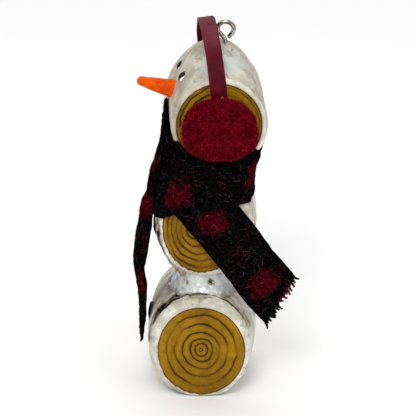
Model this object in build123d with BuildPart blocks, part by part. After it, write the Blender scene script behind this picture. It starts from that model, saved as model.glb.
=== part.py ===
from build123d import *
import math
import os

# Wooden snowman ornament: three short logs stacked crosswise, dressed with earmuffs and a scarf.
# Millimetres, +Z up. The origin is the middle of the flat cut that the bottom log stands on.
# The snowman faces -X. The logs lie ear to ear along Y, so its left side is -Y.

# ---- driving dimensions ----
BOTTOM_HALF_LENGTH = 19.3
BOTTOM_HALF_WIDTH = 16.4
BOTTOM_HALF_HEIGHT = 17.3
BOTTOM_AXIS_X = -0.3
BOTTOM_AXIS_HEIGHT = 15.6
BOTTOM_TURN = 2.0

MIDDLE_HALF_LENGTH = 14.0
MIDDLE_HALF_WIDTH = 15.6
MIDDLE_HALF_HEIGHT = 16.8
MIDDLE_AXIS_X = 0.5
MIDDLE_AXIS_HEIGHT = 52.3
MIDDLE_TURN = 0.0

HEAD_HALF_LENGTH = 18.0
HEAD_RADIUS = 14.5
HEAD_AXIS_X = 3.8
HEAD_AXIS_HEIGHT = 85.8
HEAD_TURN = -3.0
CROWN_RISE = 5.8
CROWN_DIRECTION = 92.0
CROWN_SPREAD = 64.0

RIM_STEP = 1.0
RIM_ROUND = 2.2

DOWEL_DIAMETER = 4.0
DOWEL_LENGTH = 16.0
LOWER_DOWEL_X = 0.4
UPPER_DOWEL_X = 2.0

# Half width and half depth of the snow in the two notches.
LOWER_NECK_FOOT = (11.0, 16.0)
LOWER_NECK_TOP = (7.4, 13.0)
UPPER_NECK = (7.0, 11.0)
NECK_BITE = 3.0

NOSE_BACK = -13.2
NOSE_UP = 6.0
NOSE_LENGTH = 11.0
NOSE_DIAMETER = 5.8
NOSE_TIP_DIAMETER = 2.6
NOSE_RISE = 16.0
NOSE_PEG_DIAMETER = 2.4
NOSE_PEG_DEPTH = 5.0
NOSE_TIP_ROUND = 0.6

EYE_DIAMETER = 3.0
EYE_SPACING = 11.0
EYE_BACK = -10.3
EYE_UP = 12.4

BUTTON_DIAMETER = 7.0
BUTTON_PROUD = 0.4
BUTTON_SUNK = 1.6
BUTTON_ROUND = 0.5
MIDDLE_BUTTON_HEIGHT = 48.8
BOTTOM_BUTTON_HEIGHT = 19.2

STRAP_WIDTH = 4.9
STRAP_THICKNESS = 1.0
STRAP_TURN = -5.2
STRAP_LEAN = 5.6
STRAP_BACK = -1.34
STRAP_APEX_HEIGHT = 112.9
EAR_HEIGHT = 98.0
STRAP_END_HEIGHT = 85.0
SLOT_SPARE = 0.8

MUFF_HALF_WIDTH = 11.3
MUFF_HALF_HEIGHT = 9.7
MUFF_THICKNESS = 9.0
MUFF_HEIGHT = 86.1
MUFF_BACK = -0.7
MUFF_ROUND = 3.9
GLUE_DIAMETER = 7.0
GLUE_THICKNESS = 0.6

WIRE_DIAMETER = 1.35
SCREW_EYE_X = 6.4
SCREW_EYE_ENTRY_HEIGHT = 105.7
SCREW_EYE_DEPTH = 9.0
SCREW_EYE_SHOULDER = 1.6
SCREW_EYE_BEND_RADIUS = 1.2
SCREW_EYE_BEND_ANGLE = 40.0
SCREW_EYE_LOOP_RADIUS = 2.4
SCREW_EYE_LOOP_ANGLE = 272.0
SCREW_EYE_LOOP_END = 0.8
SCREW_EYE_RUNNING_GAP = 0.05
SCREW_EYE_BORE_SPARE = 0.3

SCARF_WIDTH = 16.6
SCARF_THICKNESS = 1.6
WRAP_HEM_HEIGHT = 59.0
WRAP_HEM_TILT = 7.0
WRAP_TOP_HEIGHT = 78.6
WRAP_TOP_TILT = -10.0
WRAP_CORNER = 9.0
CHIN_FLAP_WIDTH = 13.0
CHIN_FLAP_BASE = 70.0
CHIN_FLAP_TOP = 88.4
CHIN_FLAP_THICKNESS = 0.9
CLOTH_CLEARANCE = 0.1

FRONT_TAIL_WIDTH = 15.0
SIDE_TAIL_ROOT = (0.2, -15.0, 59.2)
SIDE_TAIL_SLOPE = 51.5
SIDE_TAIL_STAND_OFF = 4.0
SIDE_TAIL_TUCK = 12.0
SIDE_TAIL_FRONT_LENGTH = 40.8
SIDE_TAIL_BACK_LENGTH = 34.6
TAIL_GAP = 0.6

os.makedirs("parts", exist_ok=True)


# ---- frames and repeated shapes ----
def along_log(turn):
    """The direction of a log's axis, towards the snowman's right ear."""
    return Vector(0, 1, 0).rotate(Axis.Z, -turn)


def log_section(axis_x, axis_height, turn, along):
    """A cross-section plane of a log: local x runs from front to back and local y runs up."""
    centre = Vector(axis_x, 0, axis_height) + along_log(turn) * along
    across = Vector(1, 0, 0).rotate(Axis.Z, -turn)
    return Plane(origin=centre, x_dir=across, z_dir=along_log(turn) * -1)


def barrel_log(axis_x, axis_height, turn, half_length, half_width, half_height, grow=0.0):
    """A log blank with an oval section, slightly fuller at its middle, and round rims."""
    reach = half_length + grow
    with BuildPart() as blank:
        for share in (-1.0, -0.5, 0.0, 0.5, 1.0):
            step = RIM_STEP * share * share - grow
            with BuildSketch(log_section(axis_x, axis_height, turn, share * reach)):
                Ellipse(half_width - step, half_height - step)
        loft()
        fillet(blank.faces().filter_by(GeomType.PLANE).edges(), RIM_ROUND)
    return blank.part


def head_outline(radius, rise):
    """Points round the head's section: a circle raised smoothly towards the crown."""
    points = []
    for angle in range(0, 360, 15):
        offset = abs((angle - CROWN_DIRECTION + 180) % 360 - 180)
        lobe = math.cos(math.radians(90 * min(offset / CROWN_SPREAD, 1.0))) ** 2
        reach = radius + rise * lobe
        points.append((reach * math.cos(math.radians(angle)), reach * math.sin(math.radians(angle))))
    return points


def head_blank(grow=0.0):
    """The head log: round at both ears and drawn up into a crown at its middle."""
    reach = HEAD_HALF_LENGTH + grow
    with BuildPart() as blank:
        for share in (-1.0, -0.5, 0.0, 0.5, 1.0):
            outline = head_outline(HEAD_RADIUS + grow, CROWN_RISE * (1 - share * share))
            with BuildSketch(log_section(HEAD_AXIS_X, HEAD_AXIS_HEIGHT, HEAD_TURN, share * reach)):
                with BuildLine():
                    Spline(*outline, periodic=True)
                make_face()
        loft()
        fillet(blank.faces().filter_by(GeomType.PLANE).edges(), RIM_ROUND)
    return blank.part


def head_point(back, along, up):
    """A point of the head given from the head's centre: to the back, towards the right ear, and up."""
    section = log_section(HEAD_AXIS_X, HEAD_AXIS_HEIGHT, HEAD_TURN, along)
    return section.from_local_coords(Vector(back, up, 0))


def ear_plane(back, along, height):
    """A plane parallel to the head log's ends, facing the snowman's left."""
    section = log_section(HEAD_AXIS_X, HEAD_AXIS_HEIGHT, HEAD_TURN, along)
    origin = head_point(back, along, height - HEAD_AXIS_HEIGHT)
    return Plane(origin=origin, x_dir=section.x_dir, z_dir=section.z_dir)


def write(piece, label):
    """Name a finished piece and write it as one STEP."""
    piece.part.label = label
    export_step(piece.part, "parts/" + label + ".step")


bottom_shape = barrel_log(
    BOTTOM_AXIS_X, BOTTOM_AXIS_HEIGHT, BOTTOM_TURN, BOTTOM_HALF_LENGTH, BOTTOM_HALF_WIDTH, BOTTOM_HALF_HEIGHT
)
middle_shape = barrel_log(
    MIDDLE_AXIS_X, MIDDLE_AXIS_HEIGHT, MIDDLE_TURN, MIDDLE_HALF_LENGTH, MIDDLE_HALF_WIDTH, MIDDLE_HALF_HEIGHT
)
head_shape = head_blank()
bottom_top = BOTTOM_AXIS_HEIGHT + BOTTOM_HALF_HEIGHT
middle_base = MIDDLE_AXIS_HEIGHT - MIDDLE_HALF_HEIGHT
middle_top = MIDDLE_AXIS_HEIGHT + MIDDLE_HALF_HEIGHT
head_base = HEAD_AXIS_HEIGHT - HEAD_RADIUS

# ---- dowels that pin the stack together ----
with BuildPart() as lower_dowel:
    with Locations((LOWER_DOWEL_X, 0, (bottom_top + middle_base) / 2)):
        Cylinder(DOWEL_DIAMETER / 2, DOWEL_LENGTH)
write(lower_dowel, "lower_dowel")

with BuildPart() as upper_dowel:
    with Locations((UPPER_DOWEL_X, 0, (middle_top + head_base) / 2)):
        Cylinder(DOWEL_DIAMETER / 2, DOWEL_LENGTH)
write(upper_dowel, "upper_dowel")

# ---- carrot nose: a blunt cone on a peg, pushed radially into the front of the head ----
back_way = log_section(0, 0, HEAD_TURN, 0).x_dir
up_way = Vector(0, 0, 1)
nose_turn = math.radians(NOSE_RISE)
nose_direction = up_way * math.sin(nose_turn) - back_way * math.cos(nose_turn)
nose_plane = Plane(origin=head_point(NOSE_BACK, 0, NOSE_UP), z_dir=nose_direction)
nose_root_plane = nose_plane.offset(-NOSE_PEG_DEPTH / 6)

with BuildPart() as nose_peg_space:
    with BuildSketch(nose_plane):
        Circle(NOSE_PEG_DIAMETER / 2)
    extrude(amount=-NOSE_PEG_DEPTH)

with BuildPart() as carrot_nose:
    with BuildSketch(nose_root_plane):
        Circle(NOSE_DIAMETER / 2)
    with BuildSketch(nose_plane.offset(NOSE_LENGTH)):
        Circle(NOSE_TIP_DIAMETER / 2)
    loft()
    fillet(carrot_nose.faces().filter_by(GeomType.PLANE).sort_by(Axis.X)[0].edges(), NOSE_TIP_ROUND)
    add(head_shape, mode=Mode.SUBTRACT)
    add(nose_peg_space.part)
write(carrot_nose, "carrot_nose")

# ---- screw eye: a plain shank with a teardrop ring bent from one wire ----
screw_eye_entry = (SCREW_EYE_X, 0, SCREW_EYE_ENTRY_HEIGHT)
wire_plane = Plane(origin=screw_eye_entry, x_dir=(1, 0, 0), z_dir=(0, -1, 0))
with BuildPart() as screw_eye:
    with BuildLine(wire_plane):
        shank = Line((0, -SCREW_EYE_DEPTH), (0, WIRE_DIAMETER / 2))
        bend = JernArc(
            start=shank @ 1, tangent=shank % 1, radius=SCREW_EYE_BEND_RADIUS, arc_size=SCREW_EYE_BEND_ANGLE
        )
        neck = Line(bend @ 1, (bend @ 1) + (bend % 1) * SCREW_EYE_SHOULDER)
        ring = JernArc(
            start=neck @ 1, tangent=neck % 1, radius=SCREW_EYE_LOOP_RADIUS, arc_size=-SCREW_EYE_LOOP_ANGLE
        )
        Line(ring @ 1, (ring @ 1) + (ring % 1) * SCREW_EYE_LOOP_END)
    with BuildSketch(Plane(origin=shank @ 0, z_dir=(0, 0, 1))):
        Circle(WIRE_DIAMETER / 2)
    sweep()
write(screw_eye, "screw_eye")

# ---- the logs, bored for what is set into them ----
with BuildPart() as bottom_log:
    add(bottom_shape)
    split(bisect_by=Plane.XY, keep=Keep.TOP)
    add(lower_dowel.part, mode=Mode.SUBTRACT)
write(bottom_log, "bottom_log")

with BuildPart() as middle_log:
    add(middle_shape)
    add(lower_dowel.part, mode=Mode.SUBTRACT)
    add(upper_dowel.part, mode=Mode.SUBTRACT)
write(middle_log, "middle_log")

with BuildPart() as head_log:
    add(head_shape)
    add(upper_dowel.part, mode=Mode.SUBTRACT)
    add(nose_peg_space.part, mode=Mode.SUBTRACT)
    with Locations(screw_eye_entry):
        bore_radius = WIRE_DIAMETER / 2 + SCREW_EYE_RUNNING_GAP
        Cylinder(bore_radius, 2 * (SCREW_EYE_DEPTH + SCREW_EYE_BORE_SPARE), mode=Mode.SUBTRACT)
write(head_log, "head_log")

# ---- hardened snow that fills the notches between the logs ----
with BuildPart() as lower_snow_neck:
    with BuildSketch(Plane.XY.offset(bottom_top - NECK_BITE)):
        with Locations((LOWER_DOWEL_X, 0)):
            Ellipse(*LOWER_NECK_FOOT)
    with BuildSketch(Plane.XY.offset(middle_base + NECK_BITE)):
        with Locations((LOWER_DOWEL_X, 0)):
            Ellipse(*LOWER_NECK_TOP)
    loft()
    add(bottom_shape, mode=Mode.SUBTRACT)
    add(middle_shape, mode=Mode.SUBTRACT)
    add(lower_dowel.part, mode=Mode.SUBTRACT)
write(lower_snow_neck, "lower_snow_neck")

with BuildPart() as upper_snow_neck:
    with BuildSketch(Plane.XY.offset(middle_top - NECK_BITE)):
        with Locations((UPPER_DOWEL_X, 0)):
            Ellipse(*UPPER_NECK)
    extrude(amount=head_base - middle_top + 2 * NECK_BITE)
    add(middle_shape, mode=Mode.SUBTRACT)
    add(head_shape, mode=Mode.SUBTRACT)
    add(upper_dowel.part, mode=Mode.SUBTRACT)
write(upper_snow_neck, "upper_snow_neck")

# ---- eyes: half-sunk beads ----
for label, side in (("left_eye", -1), ("right_eye", 1)):
    with BuildPart() as eye:
        with Locations(head_point(EYE_BACK, side * EYE_SPACING / 2, EYE_UP)):
            Sphere(EYE_DIAMETER / 2)
        add(head_shape, mode=Mode.SUBTRACT)
    write(eye, label)

# ---- coal buttons on the fronts of the two lower logs ----
buttons = (
    ("middle_button", middle_shape, MIDDLE_AXIS_X, MIDDLE_HALF_WIDTH, MIDDLE_TURN, MIDDLE_BUTTON_HEIGHT),
    ("bottom_button", bottom_shape, BOTTOM_AXIS_X, BOTTOM_HALF_WIDTH, BOTTOM_TURN, BOTTOM_BUTTON_HEIGHT),
)
for label, shape, axis_x, half_width, turn, height in buttons:
    front = log_section(axis_x, height, turn, 0)
    button_plane = Plane(origin=front.from_local_coords(Vector(-half_width, 0, 0)), z_dir=front.x_dir * -1)
    with BuildPart() as button:
        with BuildSketch(button_plane.offset(-BUTTON_SUNK)):
            Circle(BUTTON_DIAMETER / 2)
        extrude(amount=BUTTON_PROUD + BUTTON_SUNK)
        fillet(button.faces().sort_by(Axis.X)[0].edges(), BUTTON_ROUND)
        add(shape, mode=Mode.SUBTRACT)
    write(button, label)

# ---- headband: a flat strap bent over the head, glued down at both ears ----
ear_face = HEAD_HALF_LENGTH + GLUE_THICKNESS
strap_span = ear_face + STRAP_THICKNESS
lean = math.radians(STRAP_LEAN)
strap_back_way = Vector(1, 0, 0).rotate(Axis.Z, -STRAP_TURN)
strap_plane = Plane(
    origin=head_point(STRAP_BACK, 0, EAR_HEIGHT - HEAD_AXIS_HEIGHT),
    x_dir=along_log(STRAP_TURN),
    z_dir=strap_back_way * math.cos(lean) + up_way * math.sin(lean),
)
arch_height = (STRAP_APEX_HEIGHT - EAR_HEIGHT) / math.cos(lean)
leg_drop = (EAR_HEIGHT - STRAP_END_HEIGHT) / math.cos(lean)
with BuildPart() as headband:
    with BuildSketch(strap_plane):
        with BuildLine():
            EllipticalCenterArc((0, 0), strap_span, arch_height, arc_size=180)
            Line((-strap_span, 0), (-strap_span, -leg_drop))
            Line((-strap_span, -leg_drop), (-ear_face, -leg_drop))
            Line((-ear_face, -leg_drop), (-ear_face, 0))
            EllipticalCenterArc((0, 0), ear_face, arch_height - STRAP_THICKNESS, arc_size=180)
            Line((ear_face, 0), (ear_face, -leg_drop))
            Line((ear_face, -leg_drop), (strap_span, -leg_drop))
            Line((strap_span, -leg_drop), (strap_span, 0))
        make_face()
    extrude(amount=STRAP_WIDTH / 2, both=True)
write(headband, "headband")

# The slots that the strap's two legs fill in the backs of the earmuffs.
with BuildPart() as leg_slots:
    with BuildSketch(strap_plane):
        with Locations((-strap_span, -leg_drop), (ear_face, -leg_drop)):
            Rectangle(STRAP_THICKNESS, leg_drop + SLOT_SPARE, align=(Align.MIN, Align.MIN))
        with Locations((-ear_face, -leg_drop), (ear_face, -leg_drop)):
            Rectangle(SLOT_SPARE, leg_drop + SLOT_SPARE, align=(Align.CENTER, Align.MIN))
    extrude(amount=STRAP_WIDTH / 2, both=True)

# ---- earmuffs and the glue under them ----
muff_shapes = []
for name, side in (("left", -1), ("right", 1)):
    glue_plane = ear_plane(0, side * HEAD_HALF_LENGTH, MUFF_HEIGHT)
    with BuildPart() as glue:
        with BuildSketch(glue_plane):
            Circle(GLUE_DIAMETER / 2)
        extrude(amount=-side * GLUE_THICKNESS)
        add(headband.part, mode=Mode.SUBTRACT)
    write(glue, name + "_glue_dot")
    muff_plane = ear_plane(MUFF_BACK, side * ear_face, MUFF_HEIGHT)
    with BuildPart() as muff:
        with BuildSketch(muff_plane):
            Ellipse(MUFF_HALF_WIDTH, MUFF_HALF_HEIGHT)
        extrude(amount=-side * MUFF_THICKNESS)
        fillet(muff.edges().filter_by(GeomType.ELLIPSE), MUFF_ROUND)
        add(leg_slots.part, mode=Mode.SUBTRACT)
    write(muff, name + "_earmuff")
    muff_shapes.append(muff.part)

# ---- scarf: a wrap round the neck, a flap under the chin, and two tails ----
middle_clear = barrel_log(
    MIDDLE_AXIS_X,
    MIDDLE_AXIS_HEIGHT,
    MIDDLE_TURN,
    MIDDLE_HALF_LENGTH,
    MIDDLE_HALF_WIDTH,
    MIDDLE_HALF_HEIGHT,
    CLOTH_CLEARANCE,
)
head_clear = head_blank(CLOTH_CLEARANCE)
chin_cover = head_blank(CHIN_FLAP_THICKNESS)
hem_plane = Plane(origin=(0, 0, WRAP_HEM_HEIGHT), z_dir=up_way.rotate(Axis.Y, -WRAP_HEM_TILT))
collar_plane = Plane(origin=(0, 0, WRAP_TOP_HEIGHT), z_dir=up_way.rotate(Axis.Y, -WRAP_TOP_TILT))

with BuildPart() as chin_flap:
    add(chin_cover)
    with Locations((HEAD_AXIS_X - HEAD_RADIUS, 0, (CHIN_FLAP_TOP + CHIN_FLAP_BASE) / 2)):
        Box(HEAD_RADIUS, CHIN_FLAP_WIDTH, CHIN_FLAP_TOP - CHIN_FLAP_BASE, mode=Mode.INTERSECT)

# Each wrap level is (height, front x, back x, half depth).
WRAP_LEVELS = (
    (54.0, -14.6, 14.6, 16.4),
    (62.0, -14.9, 15.0, 17.4),
    (67.0, -14.6, 15.3, 18.6),
    (73.0, -13.0, 16.9, 19.8),
    (84.0, -12.2, 17.0, 20.0),
)
with BuildPart() as scarf_wrap:
    for height, front_x, back_x, half_depth in WRAP_LEVELS:
        with BuildSketch(Plane.XY.offset(height)):
            with Locations(((front_x + back_x) / 2, 0)):
                RectangleRounded(back_x - front_x, 2 * half_depth, WRAP_CORNER)
    loft()
    split(bisect_by=hem_plane, keep=Keep.TOP)
    split(bisect_by=collar_plane, keep=Keep.BOTTOM)
    add(chin_flap.part)
    add(middle_clear, mode=Mode.SUBTRACT)
    add(head_clear, mode=Mode.SUBTRACT)
    add(upper_snow_neck.part, mode=Mode.SUBTRACT)
    add(upper_dowel.part, mode=Mode.SUBTRACT)
    add(muff_shapes, mode=Mode.SUBTRACT)
write(scarf_wrap, "scarf_wrap")

with BuildPart() as front_tail:
    with BuildSketch(Plane.XZ):
        with BuildLine():
            outer = Spline(
                (-16.6, 64.6), (-17.9, 58.8), (-19.7, 51.8), (-20.9, 44.5), (-21.6, 38.0),
                (-20.7, 29.5), (-20.1, 21.6), (-20.3, 15.5), (-19.7, 12.3),
            )
            inner = Spline(
                (-19.0, 12.3), (-18.5, 15.5), (-17.8, 21.6), (-17.5, 27.0), (-17.9, 32.0),
                (-17.2, 39.0), (-16.5, 47.0), (-15.9, 56.0), (-15.5, 64.6),
            )
            Line(outer @ 1, inner @ 0)
            Line(inner @ 1, outer @ 0)
        make_face()
    extrude(amount=FRONT_TAIL_WIDTH / 2, both=True)
write(front_tail, "scarf_front_tail")

tail_slope = math.radians(SIDE_TAIL_SLOPE)
tail_stand_off = math.radians(SIDE_TAIL_STAND_OFF)
tail_across = Vector(math.sin(tail_slope), 0, math.cos(tail_slope))
tail_along = Vector(
    math.cos(tail_slope) * math.cos(tail_stand_off),
    -math.sin(tail_stand_off),
    -math.sin(tail_slope) * math.cos(tail_stand_off),
)
tail_plane = Plane(origin=SIDE_TAIL_ROOT, x_dir=tail_across, z_dir=tail_along.cross(tail_across))
with BuildPart() as side_tail:
    with BuildSketch(tail_plane):
        with BuildLine():
            Polyline(
                (-SCARF_WIDTH / 2, SIDE_TAIL_TUCK),
                (SCARF_WIDTH / 2, SIDE_TAIL_TUCK),
                (SCARF_WIDTH / 2, -SIDE_TAIL_BACK_LENGTH),
                (-SCARF_WIDTH / 2 + 1, -SIDE_TAIL_FRONT_LENGTH),
                close=True,
            )
        make_face()
    extrude(amount=SCARF_THICKNESS)
    split(bisect_by=hem_plane.offset(-TAIL_GAP), keep=Keep.BOTTOM)
write(side_tail, "scarf_side_tail")
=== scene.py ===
import math

import bpy
import numpy as np
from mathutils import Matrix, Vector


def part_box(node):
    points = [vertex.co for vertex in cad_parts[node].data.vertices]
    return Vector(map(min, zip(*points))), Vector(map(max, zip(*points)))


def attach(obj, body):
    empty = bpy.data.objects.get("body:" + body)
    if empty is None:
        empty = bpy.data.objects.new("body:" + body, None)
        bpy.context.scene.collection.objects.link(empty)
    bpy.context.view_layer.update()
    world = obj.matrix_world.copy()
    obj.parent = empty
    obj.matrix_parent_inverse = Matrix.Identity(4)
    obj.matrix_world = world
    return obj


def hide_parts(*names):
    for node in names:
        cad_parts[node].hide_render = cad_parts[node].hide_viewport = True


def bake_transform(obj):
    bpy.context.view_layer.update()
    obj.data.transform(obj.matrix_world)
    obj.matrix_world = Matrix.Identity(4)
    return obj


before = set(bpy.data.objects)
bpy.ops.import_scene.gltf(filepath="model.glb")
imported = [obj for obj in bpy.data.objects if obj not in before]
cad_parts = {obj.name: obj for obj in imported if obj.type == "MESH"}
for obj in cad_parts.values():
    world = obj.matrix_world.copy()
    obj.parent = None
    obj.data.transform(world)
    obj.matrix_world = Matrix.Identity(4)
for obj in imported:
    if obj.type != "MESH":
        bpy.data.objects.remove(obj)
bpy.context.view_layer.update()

# The looks of a wooden snowman ornament. Lengths are in millimetres until a mesh is made.
# The snowman faces -X, its left ear is at -Y, and +Z is up.
MM = 0.001

# Each log: section centre (x, z), half length, half width, half height, turn in degrees.
LOGS = {
    "bottom_log": dict(centre=(-0.6, 15.6), length=19.3, width=16.4, height=17.3, turn=2.0),
    "middle_log": dict(centre=(0.5, 52.3), length=14.0, width=15.6, height=16.8, turn=0.0),
    "head_log": dict(centre=(3.8, 85.8), length=18.0, width=14.5, height=14.5, turn=-3.0),
}
# The head's crown: its rise, and its middle and half spread in degrees round from the log's back.
CROWN_RISE = 5.8
CROWN_DIRECTION = 92.0
CROWN_SPREAD = 66.0
# What the lower logs lose at their ends, the rims' radius, and how deep the end grain and its
# grooves are cut.
RIM_STEP = 1.0
RIM_ROUND = 2.2
DISC_SUNK = 0.35
GROOVE_DEPTH = 0.24


# ---- noise and mesh helpers ----


def value_noise(points, scale, seed):
    """Smooth noise from -1 to 1 at the given points, with features about as large as scale."""
    cell = points / scale + seed * 7.31
    base = np.floor(cell).astype(np.int64)
    part = cell - base
    part = part * part * (3 - 2 * part)
    total = np.zeros(len(points))
    for corner in range(8):
        step = np.array([corner & 1, corner >> 1 & 1, corner >> 2 & 1])
        key = (base + step) * np.array([374761393, 668265263, 1440662683])
        code = (key.sum(axis=1) + seed * 982451653) & 0xFFFFFFFF
        code = (code ^ (code >> 13)) * 1274126177 & 0xFFFFFFFF
        code = (code ^ (code >> 16)) & 0xFFFF
        weight = np.prod(np.where(step == 1, part, 1 - part), axis=1)
        total += weight * (code / 32767.5 - 1)
    return total


def fractal_noise(points, scale, seed, octaves=3):
    """Noise summed over octaves, each half as large and half as strong."""
    layers = [value_noise(points, scale / 2**k, seed + k) / 2**k for k in range(octaves)]
    return sum(layers)


def smooth_step(low, high, value):
    share = np.clip((value - low) / (high - low), 0, 1)
    return share * share * (3 - 2 * share)


def make_object(name, vertices, faces, material, attributes=None, smooth=True):
    """A mesh object from vertices in millimetres, with optional float attributes on its points."""
    mesh = bpy.data.meshes.new(name)
    mesh.from_pydata((np.asarray(vertices) * MM).tolist(), [], [list(face) for face in faces])
    mesh.validate()
    for key, values in (attributes or {}).items():
        layer = mesh.attributes.new(key, "FLOAT", "POINT")
        layer.data.foreach_set("value", np.asarray(values, np.float32))
    mesh.shade_smooth() if smooth else mesh.shade_flat()
    mesh.materials.append(material)
    piece = bpy.data.objects.new(name, mesh)
    bpy.context.scene.collection.objects.link(piece)
    return piece


def grid_faces(rows, columns, wrap_columns=True):
    """Quads of a grid whose vertices are stored row by row."""
    faces = []
    for i in range(rows - 1):
        below = i * columns
        above = below + columns
        for j in range(columns if wrap_columns else columns - 1):
            k = (j + 1) % columns
            faces.append((below + j, below + k, above + k, above + j))
    return faces


def ring_solid(rings):
    """Vertices and faces of a closed solid from rings of points, shut by a fan at each end."""
    count, columns = rings.shape[:2]
    vertices = np.vstack([rings.reshape(-1, 3), rings[0].mean(axis=0), rings[-1].mean(axis=0)])
    faces = grid_faces(count, columns)
    start, end = count * columns, count * columns + 1
    last = (count - 1) * columns
    faces += [(start, (j + 1) % columns, j) for j in range(columns)]
    faces += [(end, last + j, last + (j + 1) % columns) for j in range(columns)]
    return vertices, faces


def solid_object(name, rings, material, inside_out=False, **attributes):
    """A closed solid object from rings of points, its attributes zero where the fans meet."""
    vertices, faces = ring_solid(rings)
    if inside_out:
        faces = [face[::-1] for face in faces]
    attributes = {key: np.append(values, [0, 0]) for key, values in attributes.items()}
    return make_object(name, vertices, faces, material, attributes)


def unit(vectors):
    return vectors / np.maximum(np.linalg.norm(vectors, axis=-1, keepdims=True), 1e-9)


def full_turn(columns):
    """Angles once round, without the last one that repeats the first."""
    return np.linspace(0, 2 * math.pi, columns, endpoint=False)


def ball_points(rows, columns):
    """Unit vectors in rings round the Y axis, from near one pole to near the other."""
    angle = full_turn(columns)
    rings = []
    for tilt in np.radians(np.linspace(3, 177, rows)):
        rings.append(np.stack([math.sin(tilt) * np.cos(angle), np.full(columns, math.cos(tilt)),
                               math.sin(tilt) * np.sin(angle)], axis=-1))
    return np.array(rings).reshape(-1, 3)


def thin_tubes(paths, radii, sides=3):
    """One mesh of many tapered tubes. paths is (fibres, points, 3), radii is (fibres, points)."""
    count, points = paths.shape[:2]
    along = unit(np.gradient(paths, axis=1))
    helper = np.where(np.abs(along[..., 2:]) < 0.9, [[[0.0, 0.0, 1.0]]], [[[1.0, 0.0, 0.0]]])
    across = unit(np.cross(along, helper))
    other = np.cross(along, across)
    turns = np.arange(sides) * 2 * math.pi / sides
    ring = across[:, :, None] * np.cos(turns)[:, None] + other[:, :, None] * np.sin(turns)[:, None]
    vertices = (paths[:, :, None] + ring * radii[:, :, None, None]).reshape(-1, 3)
    single = np.array(grid_faces(points, sides))
    starts = np.arange(count) * points * sides
    walls = (single[None] + starts[:, None, None]).reshape(-1, 4).tolist()
    cap = np.arange(sides)
    caps = np.vstack([cap[::-1] + starts[:, None], cap + starts[:, None] + (points - 1) * sides])
    return vertices, walls + caps.tolist()


# ---- materials ----


def colour(code):
    """A linear colour from an sRGB hex code."""
    parts = [int(code[i:i + 2], 16) / 255 for i in (0, 2, 4)]
    return tuple(p / 12.92 if p <= 0.04045 else ((p + 0.055) / 1.055) ** 2.4 for p in parts) + (1.0,)


class Shader:
    """A material's node tree, with one short method for each kind of node."""

    def __init__(self, name, roughness=0.6, **sockets):
        self.material = bpy.data.materials.new(name)
        self.material.use_nodes = True
        self.tree = self.material.node_tree
        self.surface = self.tree.nodes["Principled BSDF"]
        self.surface.inputs["Roughness"].default_value = roughness
        for socket, value in sockets.items():
            self.surface.inputs[socket.replace("_", " ")].default_value = value
        self.place = self.tree.nodes.new("ShaderNodeTexCoord").outputs["Object"]

    def put(self, socket, value):
        if isinstance(value, bpy.types.NodeSocket):
            self.tree.links.new(value, socket)
        elif value is not None:
            socket.default_value = colour(value) if isinstance(value, str) else value

    def noise(self, size, detail=3.0, stretch=(1, 1, 1), distortion=0.0, rough=0.5):
        """Noise with features of about size millimetres."""
        mapping = self.tree.nodes.new("ShaderNodeMapping")
        mapping.inputs["Scale"].default_value = [s / (size * MM) for s in stretch]
        self.put(mapping.inputs["Vector"], self.place)
        node = self.tree.nodes.new("ShaderNodeTexNoise")
        self.put(node.inputs["Vector"], mapping.outputs["Vector"])
        settings = (("Scale", 1.0), ("Detail", detail), ("Roughness", rough), ("Distortion", distortion))
        for socket, value in settings:
            node.inputs[socket].default_value = value
        return node.outputs["Fac"]

    def attribute(self, name):
        node = self.tree.nodes.new("ShaderNodeAttribute")
        node.attribute_name = name
        return node.outputs["Fac"]

    def math(self, operation, a, b=None):
        node = self.tree.nodes.new("ShaderNodeMath")
        node.operation = operation
        self.put(node.inputs[0], a)
        self.put(node.inputs[1], b)
        return node.outputs[0]

    def plus(self, a, b):
        return self.math("ADD", a, b)

    def times(self, a, b):
        return self.math("MULTIPLY", a, b)

    def swing(self, noise, width):
        """Noise about a half turned into a value about zero, width wide."""
        return self.times(self.math("SUBTRACT", noise, 0.5), width)

    def between(self, value, low, high, to_low=0.0, to_high=1.0):
        """A smooth change from to_low to to_high as value goes from low to high."""
        node = self.tree.nodes.new("ShaderNodeMapRange")
        node.interpolation_type = "SMOOTHSTEP"
        for socket, item in zip(node.inputs, (value, low, high, to_low, to_high)):
            self.put(socket, item)
        return node.outputs[0]

    def mix(self, share, a, b):
        node = self.tree.nodes.new("ShaderNodeMix")
        node.data_type = "RGBA"
        self.put(node.inputs["Factor"], share)
        self.put(node.inputs["A"], a)
        self.put(node.inputs["B"], b)
        return node.outputs["Result"]

    def fade(self, value, low, high, a, b):
        """Colour a up to the value low, colour b from the value high on."""
        return self.mix(self.between(value, low, high), a, b)

    def finish(self, base, bump=None, depth=0.1, roughness=None):
        """Connect the base colour, an optional bump of depth millimetres, and roughness."""
        self.put(self.surface.inputs["Base Color"], base)
        if bump is not None:
            node = self.tree.nodes.new("ShaderNodeBump")
            node.inputs["Distance"].default_value = depth * MM
            node.inputs["Strength"].default_value = 1.0
            self.put(node.inputs["Height"], bump)
            self.put(self.surface.inputs["Normal"], node.outputs["Normal"])
        if roughness is not None:
            self.put(self.surface.inputs["Roughness"], roughness)
        return self.material


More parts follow.
